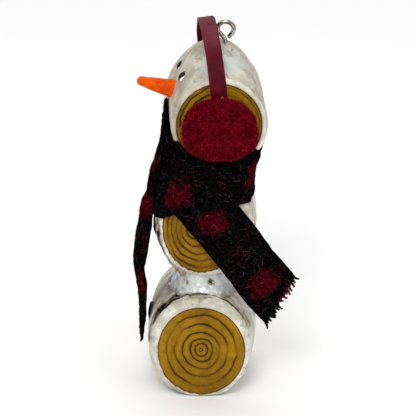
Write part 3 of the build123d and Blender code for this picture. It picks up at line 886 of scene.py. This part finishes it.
def pompom(name, material, seed):
    """A clipped yarn pompom: a lumpy core under thousands of short curled fibres."""
    rng = np.random.default_rng(seed)
    low, high = (np.array(corner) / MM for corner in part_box(name))
    centre = (low + high) / 2
    side = -1 if centre[1] < 0 else 1
    face = low[1] if side > 0 else high[1]
    centre = np.array([centre[0] + 0.45, face + side * 3.4, centre[2]])
    reach = np.array(FLUFF_REACH)

    def surface(ways):
        """Points on the pompom's round outline, flattened against the ear."""
        body = np.abs(ways) ** 2.3
        scale = body.sum(axis=-1, keepdims=True) ** (-1 / 2.3)
        low_wide = 1 - 0.10 * ways[..., 2:] * scale
        widths = np.concatenate([low_wide, low_wide, np.ones_like(low_wide)], -1)
        spots = centre + ways * scale * reach * widths
        inner = side * (face + side * 0.15)
        spots[:, 1] = side * np.maximum(side * spots[:, 1], inner)
        return spots

    rows, columns = 60, 110
    points = surface(ball_points(rows, columns))
    points = centre + (points - centre) * (0.90 + 0.03 * fractal_noise(points, 1.2, seed))[:, None]
    points[:, 1] = side * np.maximum(side * points[:, 1], side * (face + side * 0.12))
    core_vertices, core_faces = ring_solid(points.reshape(rows, columns, 3))
    core_tone = np.append(0.15 + 0.25 * rng.random(len(points)), [0, 0])

    count, steps = FLUFF_FIBRES, 4
    ways = unit(rng.normal(size=(count * 2, 3)))
    roots = surface(ways)
    open_side = side * roots[:, 1] > side * face + 0.5
    ways, roots = ways[open_side][:count], roots[open_side][:count]
    roots = centre + (roots - centre) * 0.9
    outward = unit((roots - centre) / reach)
    lean = unit(outward + 0.75 * rng.normal(size=outward.shape))
    curl = unit(rng.normal(size=outward.shape))
    lengths = rng.uniform(0.7, 1.5, len(roots))
    clumps = 0.8 + 0.3 * value_noise(roots, 1.6, seed + 2)
    t = np.linspace(0, 1, steps)
    rise = outward[:, None] * t[:, None] * 0.55 + lean[:, None] * (t[:, None] * 0.6)
    hook = curl[:, None] * (np.sin(t * math.pi) * 0.28)[:, None]
    paths = roots[:, None] + (rise + hook) * (lengths * clumps)[:, None, None]
    paths[:, :, 1] = side * np.maximum(side * paths[:, :, 1], side * face + 0.1)
    radii = np.broadcast_to(FLUFF_FIBRE_RADIUS * np.array([1.0, 1.0, 0.85, 0.45]), paths.shape[:2]).copy()
    radii *= rng.uniform(0.75, 1.25, (len(roots), 1))
    tube_vertices, tube_faces = thin_tubes(paths, radii)
    tone = np.repeat(np.clip(rng.normal(0.38, 0.4, len(roots)), 0, 1), steps * 3)
    shade = np.tile(np.repeat(np.array([0.35, 0.7, 0.95, 1.0]), 3), len(roots))
    vertices = np.vstack([core_vertices, tube_vertices])
    first = len(core_vertices)
    faces = core_faces + [tuple(i + first for i in corners) for corners in tube_faces]
    piece = make_object(name + "_pompom", vertices, faces, material,
                        {"tone": np.concatenate([core_tone, tone * shade])})
    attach(piece, "snowman")
    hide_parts(name)


# ---- scarf ----
CLOTH = 0.9
HEM_HEIGHT = 58.7
HEM_TILT = 7.0
COLLAR_HEIGHT = 78.0
# Each wrap level is (height, front x, back x, half depth).
WRAP_LEVELS = np.array([
    (54.0, -15.2, 15.0, 16.2),
    (59.0, -15.2, 15.1, 16.4),
    (62.0, -15.1, 15.1, 17.0),
    (67.0, -14.7, 15.3, 18.2),
    (73.0, -13.1, 16.6, 19.4),
    (79.0, -12.4, 17.2, 19.2),
    (85.0, -12.0, 17.4, 18.6),
])


def check_pattern(across, along):
    stripe = np.exp(-((np.abs(across) / 3.8) ** 4))
    near = np.abs((along + 12) % 24 - 12)
    strong = np.exp(-((near / 4.0) ** 4))
    weak = np.exp(-((np.abs(near - 12) / 3.4) ** 4))
    square = 0.28 * np.exp(-((across / 9.5) ** 4)) + 0.54 * stripe
    return 0.04 + strong * square + 0.24 * stripe * weak + 0.05 * stripe


def surface_normals(points, wrap):
    """Unit normals of a grid of points, (rows, columns, 3)."""
    down = np.gradient(points, axis=0)
    if wrap:
        across = (np.roll(points, -1, axis=1) - np.roll(points, 1, axis=1)) / 2
    else:
        across = np.gradient(points, axis=1)
    return unit(np.cross(across, down))


def cloth_sheet(name, points, across, along, cloth, fibres, seed, strands, wrap=False, flip=False):
    """A thin closed sheet of felted wool round a mid-surface grid, and the lint on its napped face.

    flip turns the napped face over.
    """
    rows, columns = points.shape[:2]
    normals = surface_normals(points, wrap) * (-1 if flip else 1)
    flat = points.reshape(-1, 3)
    nap = 0.10 * fractal_noise(flat, 1.0, seed) + 0.06 * value_noise(flat, 0.45, seed + 5)
    nap = nap.reshape(rows, columns, 1)
    row_edge = np.minimum(np.arange(rows), np.arange(rows)[::-1])
    taper = np.sqrt(np.clip(row_edge / 3.0, 0.05, 1))[:, None, None]
    if not wrap:
        column_edge = np.minimum(np.arange(columns), np.arange(columns)[::-1])
        taper = taper * np.sqrt(np.clip(column_edge / 3.0, 0.05, 1))[None, :, None]
    half = CLOTH / 2 * taper
    front = points + normals * (half + nap * taper)
    back = points - normals * (half - 0.5 * nap * taper)
    vertices = np.vstack([front.reshape(-1, 3), back.reshape(-1, 3)])
    count = rows * columns
    front_faces = grid_faces(rows, columns, wrap_columns=wrap)
    back_faces = [tuple(i + count for i in face[::-1]) for face in front_faces]
    index = np.arange(count).reshape(rows, columns)
    if wrap:
        loops = [index[0], index[-1][::-1]]
    else:
        loops = [np.concatenate([index[0, :-1], index[:-1, -1], index[-1, :0:-1], index[:0:-1, 0]])]
    sides = [(a, a + count, b + count, b) for loop in loops for a, b in zip(loop, np.roll(loop, -1))]
    faces = front_faces + back_faces + sides
    if flip:
        faces = [face[::-1] for face in faces]
    check = check_pattern(across, along).ravel()
    piece = make_object(name + "_cloth", vertices, faces, cloth, {"check": np.tile(check, 2)})
    check = check.reshape(rows, columns)
    stray = lint(name + "_lint", front, normals, check, fibres, strands, seed + 1, wrap)
    return piece, stray, normals


LINT_LENGTHS = (0.4, 1.3)
LINT_RADII = (0.014, 0.03)
PALE_SHARE = 0.10
PALE_STRETCH = 2.2


def lint(name, front, normals, check, material, count, seed, wrap):
    """Loose fibres on a sheet's outer face: most short and its own colour, a few long and pale."""
    rng = np.random.default_rng(seed)
    rows, columns = front.shape[:2]
    i = rng.integers(1, rows - 1, count)
    j = rng.integers(0 if wrap else 1, columns - 1, count)
    roots, out = front[i, j], normals[i, j]
    way = unit(np.cross(out, rng.normal(size=(count, 3))))
    bow = unit(np.cross(out, way))
    pale = rng.random(count) < PALE_SHARE
    reach = rng.uniform(*LINT_LENGTHS, count) * np.where(pale, PALE_STRETCH, 1.0)
    t = np.linspace(0, 1, 5)
    curve = rng.normal(0, 0.15, count)[:, None] * np.sin(t * math.pi)
    curve = curve + rng.normal(0, 0.1, count)[:, None] * t
    lift = np.sin(t * math.pi) * rng.uniform(0.0, 0.22, count)[:, None]
    paths = roots[:, None] + way[:, None] * (t * reach[:, None])[..., None]
    paths = paths + bow[:, None] * (curve * reach[:, None])[..., None] + out[:, None] * lift[..., None]
    radii = rng.uniform(*LINT_RADII, count)[:, None] * np.array([0.8, 1, 1, 0.9, 0.5])
    vertices, faces = thin_tubes(paths, radii)
    red = check[i, j] + rng.normal(0, 0.12, count)
    tone = np.where(red > 0.45, rng.uniform(0.35, 0.5, count), rng.uniform(0.0, 0.25, count))
    tone = np.where(pale, rng.uniform(0.6, 0.78, count), tone)
    return make_object(name, vertices, faces, material, {"tone": np.repeat(tone, 5 * 3)})


PLY_RADIUS = 0.30
PLY_COIL = 0.18


def fringe(name, points, normals, tones, material, seed, lengths):
    """Frayed yarn ends along a tail's cut edge: two twisted plies each."""
    rng = np.random.default_rng(seed)
    ends, out = points[-1, 1:-1:3], normals[-1, 1:-1:3]
    ways = unit(ends - points[-4, 1:-1:3])
    count, steps = len(ends), 9
    t = np.linspace(0, 1, steps)
    reach = rng.uniform(*lengths, count)
    side = unit(np.cross(ways, out))
    sway = side * rng.normal(0, 0.38, (count, 1)) + out * rng.normal(0, 0.2, (count, 1))
    middle = ends[:, None] - ways[:, None] * 0.5 + ways[:, None] * (t * reach[:, None])[..., None]
    middle = middle + sway[:, None] * (t**1.6 * reach[:, None])[..., None]
    plies = []
    for start in (0, math.pi):
        twist = t * 7 + start
        coil = side[:, None] * np.cos(twist)[:, None] + out[:, None] * np.sin(twist)[:, None]
        plies.append(middle + coil * PLY_COIL)
    radii = np.broadcast_to(PLY_RADIUS * (1 - 0.5 * t**3), (2 * count, steps))
    vertices, faces = thin_tubes(np.vstack(plies), radii, sides=6)
    tone = np.repeat(np.tile(tones, 2), steps * 6)
    return make_object(name, vertices, faces, material, {"tone": tone})


def push_out_of_logs(points, gap):
    """Move points of the wrap outwards until they clear the middle and head logs."""
    moved = points.copy()
    for name in ("middle_log", "head_log"):
        log = LOGS[name]
        for _ in range(3):
            x, z = moved[:, 0] - log["centre"][0], moved[:, 2] - log["centre"][1]
            share = np.clip(moved[:, 1] / log["length"], -1, 1)
            bark = outline_radius(name, np.arctan2(z, x), share) + gap
            depth = bark - np.hypot(x, z)
            end = log["length"] + gap - np.abs(moved[:, 1])
            inside = (depth > 0) & (end > 0)
            by_end = inside & (end < depth)
            by_bark = inside & ~by_end
            moved[by_end, 1] += (np.sign(moved[:, 1]) * end)[by_end]
            moved[by_bark, 0] += (np.sign(x) * depth)[by_bark]
    return moved


def scarf_wrap(cloth, fibres):
    """The turn of scarf round the neck, with soft diagonal folds and a rolled hem."""
    rows, columns = 84, 330
    angle = full_turn(columns)
    cos, sin = np.cos(angle), np.sin(angle)
    shape_x = np.sign(cos) * np.abs(cos) ** 0.58
    shape_y = np.sign(sin) * np.abs(sin) ** 0.58
    ring = np.stack([shape_x * 15, shape_y * 18, 0 * angle], axis=-1)
    ripple = 0.8 * value_noise(ring, 6.5, 93) + 0.35 * value_noise(ring, 2.6, 94)
    hem = HEM_HEIGHT + math.tan(math.radians(HEM_TILT)) * shape_x * 15
    hem = hem - 1.9 * smooth_step(0.3, 1, -shape_x)
    hem = hem + 0.25 * ripple
    near_ears = smooth_step(0.6, 1.0, np.abs(shape_y)) * smooth_step(-0.75, -0.3, shape_x)
    collar = COLLAR_HEIGHT - 1.6 * near_ears
    collar = collar + 5.5 * smooth_step(-0.35, -0.95, shape_x) + 1.6 * smooth_step(0.2, 0.9, shape_x)
    collar = collar + ripple
    grid, band_place = [], []
    for share in np.linspace(0, 1, rows):
        z = hem + (collar - hem) * share
        front = np.interp(z, WRAP_LEVELS[:, 0], WRAP_LEVELS[:, 1])
        back = np.interp(z, WRAP_LEVELS[:, 0], WRAP_LEVELS[:, 2])
        deep = np.interp(z, WRAP_LEVELS[:, 0], WRAP_LEVELS[:, 3]) - CLOTH / 2
        x = (front + back) / 2 + (back - front - CLOTH) / 2 * shape_x
        y = deep * shape_y
        grid.append(np.stack([x, y, z], axis=-1))
        band_place.append(z - 66.0 - 0.26 * shape_x * 15)
    points = np.array(grid)
    flat = points.reshape(-1, 3)
    outward = unit((flat - [0.8, 0, 0]) * [1, 1, 0])
    slant = flat[:, 2] * 0.9 + np.arctan2(flat[:, 1], flat[:, 0]) * 9
    folds = 0.55 * np.sin(slant * 0.75 + 1.5 * value_noise(flat, 9.0, 91))
    folds = folds + 0.45 * fractal_noise(flat, 6.0, 92)
    share = np.repeat(np.linspace(0, 1, rows), columns)
    roll = 0.35 * band(share, 0.03, 0.05)
    flat = flat + outward * (folds * smooth_step(0.0, 0.2, share) + roll)[:, None]
    flat = push_out_of_logs(flat, CLOTH / 2 + 0.15)
    points = flat.reshape(points.shape)
    turn = points[rows // 3]
    steps = np.linalg.norm(np.diff(turn, axis=0, append=turn[:1]), axis=1)
    arc = np.concatenate([[0], np.cumsum(steps)[:-1]])
    start = np.argmin(np.abs(turn[:, 0] + 7.2) + 100 * (turn[:, 1] > 0))
    along = np.broadcast_to(arc - arc[start], (rows, columns))
    piece, stray, _ = cloth_sheet(
        "scarf_wrap", points, np.array(band_place), along, cloth, fibres, 81, 3000, wrap=True)
    for item in (piece, stray):
        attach(item, "snowman")
    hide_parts("scarf_wrap")


# The flap under the chin, down its middle: (x, z) from the nose to the front tail's root.
CHIN_PATH = np.array([
    (-11.6, 88.3), (-12.0, 84.0), (-12.1, 79.5), (-12.6, 75.6), (-14.0, 72.0), (-15.2, 68.0), (-16.4, 64.8),
])


def smooth_path(corners, count):
    """Points along a smooth curve through the corners, evenly spaced."""
    corners = np.asarray(corners, float)
    padded = np.vstack([2 * corners[0] - corners[1], corners, 2 * corners[-1] - corners[-2]])
    curve = []
    for a, b, c, d in zip(padded, padded[1:], padded[2:], padded[3:]):
        for t in np.linspace(0, 1, 30, endpoint=False):
            curve.append(0.5 * (2 * b + (c - a) * t + (2 * a - 5 * b + 4 * c - d) * t**2
                                + (3 * b - 3 * c + d - a) * t**3))
    curve = np.array(curve + [corners[-1]])
    place = np.concatenate([[0], np.cumsum(np.linalg.norm(np.diff(curve, axis=0), axis=1))])
    even = np.linspace(0, place[-1], count)
    return np.stack([np.interp(even, place, curve[:, k]) for k in range(curve.shape[1])], -1), even


def chin_flap(cloth, fibres):
    """A flap of the wrap, pulled up under the chin and down to the front tail."""
    rows, columns = 80, 44
    path, place = smooth_path(CHIN_PATH, rows)
    rounding = np.sqrt(1 - (1 - np.clip(place / 7.0, 0.06, 1)) ** 2)
    half_width = (6.1 + 0.35 * np.sin(place / 1.9) + 0.3 * np.sin(place / 0.83)) * rounding
    across = np.linspace(-1, 1, columns)[None] * half_width[:, None]
    x = path[:, :1] + 0.35 * CLOTH + 0.024 * across**2
    y = across + 0.45 * np.sin(place / 4)[:, None]
    points = np.stack([x, y, np.broadcast_to(path[:, 1:], x.shape)], axis=-1)
    flat = points.reshape(-1, 3)
    flat[:, 0] += 0.25 * fractal_noise(flat, 4.0, 95)
    flat = push_out_of_logs(flat, CLOTH / 2 + 0.1)
    points = flat.reshape(points.shape)
    place = np.broadcast_to(place[:, None], x.shape)
    piece, stray, _ = cloth_sheet("scarf_chin", points, across + 5, place + 3, cloth, fibres, 96, 900)
    for item in (piece, stray):
        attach(item, "snowman")


# The front tail's middle line (x, z), and how deeply its two edges curl back towards the body there.
FRONT_TAIL = np.array([
    (-15.3, 67.0, 0.3), (-15.6, 63.0, 0.7), (-16.0, 58.8, 1.2), (-16.7, 55.9, 1.7), (-17.4, 51.8, 1.8),
    (-18.1, 47.6, 1.8), (-18.7, 43.4, 1.9), (-19.3, 39.1, 1.8), (-19.6, 36.0, 1.3), (-19.6, 33.0, 0.9),
    (-19.1, 29.7, 1.0), (-18.5, 25.9, 1.0), (-18.5, 22.0, 0.8), (-18.8, 17.0, 0.6), (-19.1, 13.6, 0.3),
])


def front_tail(cloth, fibres):
    """The tail that hangs down the front, curled a little across its width."""
    rows, columns = 150, 52
    path, place = smooth_path(FRONT_TAIL, rows)
    half_width = 7.1 - 0.8 * smooth_step(40, 54, place)
    half_width = half_width + 0.2 * np.sin(place / 3.1) + 0.15 * np.sin(place / 1.3)
    across = np.linspace(-1, 1, columns)
    x = path[:, :1] + path[:, 2:] * (2 * across**2 - 1)[None]
    y = across[None] * half_width[:, None]
    z = path[:, 1:2] + 0 * x
    points = np.stack([x, y, z], axis=-1)
    flat = points.reshape(-1, 3)
    flat[:, 0] += 0.22 * fractal_noise(flat, 3.0, 101)
    points = flat.reshape(points.shape)
    place = np.broadcast_to(place[:, None], x.shape)
    reach = y + 3.0 + 6 * smooth_step(18, 32, place)
    piece, stray, normals = cloth_sheet(
        "scarf_front_tail", points, reach, place - 11.3, cloth, fibres, 102, 1500)
    tones = np.where(np.arange(columns // 3) % 5 == 2, 0.4, 0.1)
    yarn = fringe("scarf_front_tail_fringe", points, normals, tones, fibres, 104, lengths=(0.9, 2.2))
    for item in (piece, stray, yarn):
        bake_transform(item)
    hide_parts("scarf_front_tail")


# The side tail's root, its slope and stand-off in degrees, its width, the length tucked behind the
# wrap, and the lengths of its front and back edges.
SIDE_ROOT = np.array([0.2, -15.15, 59.2])
SIDE_SLOPE = 51.5
SIDE_STAND_OFF = 4.0
SIDE_WIDTH = 16.6
SIDE_TUCK = 6.0
SIDE_FRONT_LENGTH = 40.0
SIDE_BACK_LENGTH = 33.6


def side_tail(cloth, fibres):
    """The tail that crosses the left side, lying almost flat, its cut end frayed."""
    slope, off = math.radians(SIDE_SLOPE), math.radians(SIDE_STAND_OFF)
    side = np.array([math.sin(slope), 0, math.cos(slope)])
    down = np.array([math.cos(slope) * math.cos(off), -math.sin(off), -math.sin(slope) * math.cos(off)])
    outward = np.cross(side, down)
    outward = outward * -np.sign(outward[1])
    rows, columns = 150, 64
    across = np.linspace(-1, 1, columns)
    share = np.linspace(0, 1, rows)
    length = SIDE_FRONT_LENGTH + (SIDE_BACK_LENGTH - SIDE_FRONT_LENGTH) * (across + 1) / 2
    place = -SIDE_TUCK + share[:, None] * (length + SIDE_TUCK)[None]
    spots = np.column_stack([place.ravel(), np.zeros((place.size, 2))])
    edge_noise = value_noise(spots, 2.2, 115).reshape(place.shape)
    width = across[None] * (SIDE_WIDTH / 2 * (1 + 0.02 * np.sin(place / 4.3)) + 0.22 * edge_noise)
    width = width + 0.3 * np.sin(place / 6.1)
    points = SIDE_ROOT + side * width[..., None] + down * place[..., None]
    waves = 0.35 * np.sin(place / 7.5 + across[None] * 1.3) * smooth_step(2, 12, place)
    flat = points.reshape(-1, 3)
    waves = waves.ravel() + 0.22 * fractal_noise(flat, 5.0, 111) * smooth_step(0, 8, place).ravel()
    cup = 0.5 * smooth_step(10, 34, place) * (across**2)[None]
    lift = waves - cup.ravel() + 0.45
    points = (flat + outward * lift[:, None]).reshape(points.shape)
    piece, stray, normals = cloth_sheet(
        "scarf_side_tail", points, width + 0.7, place - 5.2, cloth, fibres, 112, 2600, flip=True)
    yarns = np.arange(columns // 3)
    tones = np.where((yarns > 9) & (yarns < 18), 0.42, 0.08)
    yarn = fringe("scarf_side_tail_fringe", points, normals, tones, fibres, 114, lengths=(0.9, 2.3))
    for item in (piece, stray, yarn):
        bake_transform(item)
    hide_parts("scarf_side_tail")


# ---- screw eye ----
EYE_WIRE = 1.35
# The ring's middle line from the crown up and round to its free end: (x, z) from the shank's axis.
EYE_PATH = (
    (0.0, -0.6), (0.0, 0.6), (-0.35, 1.7), (-1.35, 2.9), (-2.15, 4.2), (-2.0, 5.6), (-0.9, 6.6), (0.45, 6.75),
    (1.75, 6.1), (2.45, 4.9), (2.2, 3.6), (1.45, 2.6), (0.85, 1.75),
)


EYE_ENTRY = np.array([6.4, 0.0, 105.7])


def screw_eye(material):
    """The bent wire: a plain shank, a teardrop ring, and a rounded free end."""
    path, place = smooth_path(EYE_PATH, 150)
    line = np.stack([path[:, 0], 0.10 * np.sin(place / 3), path[:, 1]], axis=-1) + EYE_ENTRY
    radius = np.full(len(line), EYE_WIRE / 2)
    ending = place[-1] - place
    radius *= np.sqrt(np.clip(1 - np.clip(1 - ending / 0.55, 0, 1) ** 2, 0.02, 1))
    vertices, faces = thin_tubes(line[None], radius[None], sides=28)
    piece = make_object("screw_eye_ring", vertices, faces, material)
    shank_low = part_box("screw_eye")[0][2] / MM
    heights = np.linspace(EYE_ENTRY[2] - 0.4, shank_low + 0.1, 60)
    shank = np.stack([np.full(60, EYE_ENTRY[0]), np.zeros(60), heights], axis=-1)
    thread = EYE_WIRE / 2 * (0.88 + 0.1 * np.abs(np.sin(heights * 3.6)))
    thread[0] = EYE_WIRE / 2
    thread[-4:] *= np.array([0.8, 0.6, 0.35, 0.1])
    vertices, faces = thin_tubes(shank[None], thread[None], sides=28)
    threaded = make_object("screw_eye_thread", vertices, faces, material)
    for item in (piece, threaded):
        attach(item, "screw_eye")
    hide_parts("screw_eye")


GLUE_CENTRE = np.array([5.3, -19.75, 94.9])
GLUE_REACH = (0.42, 0.3, 0.6)


def glue_bead(material):
    """A bead of glue squeezed out beside the strap's end."""
    rows, columns = 24, 40
    points = GLUE_CENTRE + ball_points(rows, columns) * GLUE_REACH
    swell = 1 + 0.2 * value_noise(points, 0.4, 121)
    points = GLUE_CENTRE + (points - GLUE_CENTRE) * swell[:, None]
    piece = solid_object("glue_bead", points.reshape(rows, columns, 3), material)
    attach(piece, "snowman")


# ---- the scene ----


def add_light(name, location, target, size, power):
    data = bpy.data.lights.new(name, "AREA")
    data.shape = "DISK"
    data.size = size
    data.energy = power
    light = bpy.data.objects.new(name, data)
    light.location = location
    way = np.array(target) - np.array(location)
    tilt = math.atan2(math.hypot(way[0], way[1]), -way[2])
    light.rotation_euler = (tilt, 0, math.atan2(way[1], way[0]) - math.pi / 2)
    bpy.context.scene.collection.objects.link(light)


# The camera looks towards +Y and a little down. Its distance and target are in metres.
CAMERA_LENS = 285.6
CAMERA_DISTANCE = 1.0
CAMERA_ELEVATION = 20
CAMERA_TARGET = (0.00122, 0.0, 0.0536)
LIGHT_TARGET = (0, 0, 0.06)


def studio():
    """Soft white surroundings, a large pale floor, and a long lens looking down a little."""
    scene = bpy.context.scene
    scene.view_settings.view_transform = "Standard"
    world = bpy.data.worlds.new("studio")
    world.use_nodes = True
    tree = world.node_tree
    sky = tree.nodes["Background"]
    sky.inputs["Color"].default_value = (1, 1, 1, 1)
    split = tree.nodes.new("ShaderNodeSeparateXYZ")
    fade = tree.nodes.new("ShaderNodeMapRange")
    tree.links.new(tree.nodes.new("ShaderNodeTexCoord").outputs["Generated"], split.inputs[0])
    tree.links.new(split.outputs["Z"], fade.inputs["Value"])
    for socket, value in (("From Min", -0.1), ("From Max", 0.7), ("To Min", 0.15), ("To Max", 0.8)):
        fade.inputs[socket].default_value = value
    tree.links.new(fade.outputs[0], sky.inputs["Strength"])
    scene.world = world
    corners = [(-3000, -3000, 0), (3000, -3000, 0), (3000, 6000, 0), (-3000, 6000, 0)]
    floor = make_object("studio_floor", corners, [(0, 1, 2, 3)], floor_material(), smooth=False)
    floor.location.z = -0.0002
    add_light("key", (-0.12, -0.75, 0.7), LIGHT_TARGET, 0.35, 3.6)
    add_light("fill", (0.6, -0.6, 0.35), LIGHT_TARGET, 0.5, 1.0)
    add_light("top", (0.0, 0.3, 0.9), LIGHT_TARGET, 0.5, 1.6)

    lens = bpy.data.cameras.new("camera")
    lens.sensor_width = 36.0
    lens.lens = CAMERA_LENS
    lens.clip_start = 0.05
    lens.clip_end = 20.0
    camera = bpy.data.objects.new("camera", lens)
    elevation = math.radians(CAMERA_ELEVATION)
    away = np.array([0, -math.cos(elevation), math.sin(elevation)])
    camera.location = np.array(CAMERA_TARGET) + away * CAMERA_DISTANCE
    camera.rotation_euler = (math.pi / 2 - elevation, 0, 0)
    scene.collection.objects.link(camera)
    scene.camera = camera


def main():
    logs = painted_log_material()
    log_piece("bottom_log", logs, bottom_split_and_shade)
    log_piece("middle_log", logs, middle_stain_and_shade)
    log_piece("head_log", logs, head_cracks)
    paint_drip(logs)
    snow = snow_material()
    low_pits = ((2.0, -13.6, 34.9, 0.9), (3.1, -13.6, 34.5, 0.6), (-5.5, -12.0, 34.0, 0.7))
    snow_neck("lower_snow_neck", snow, 0.0, (11.0, 16.0), (7.6, 12.9), 30.2, 37.6, low_pits)
    snow_neck("upper_snow_neck", snow, 2.0, (8.0, 12.0), (7.0, 11.0), 67.0, 73.5, ())
    carrot_nose(nose_material())
    beads = bead_material()
    eye_bead("left_eye", beads)
    eye_bead("right_eye", beads)
    coal = coal_material()
    coal_button("middle_button", coal)
    coal_button("bottom_button", coal)
    headband(strap_material())
    fluff = fluff_material()
    pompom("left_earmuff", fluff, 131)
    pompom("right_earmuff", fluff, 132)
    cloth, fibres = scarf_material(), fibre_material()
    scarf_wrap(cloth, fibres)
    chin_flap(cloth, fibres)
    front_tail(cloth, fibres)
    side_tail(cloth, fibres)
    screw_eye(nickel_material())
    glue = glue_material()
    glue_bead(glue)
    kept = {"left_glue_dot": glue, "right_glue_dot": glue}
    dowel = dowel_material()
    kept.update({"lower_dowel": dowel, "upper_dowel": dowel})
    for node, material in kept.items():
        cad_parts[node].data.materials.clear()
        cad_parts[node].data.materials.append(material)
    studio()


main()
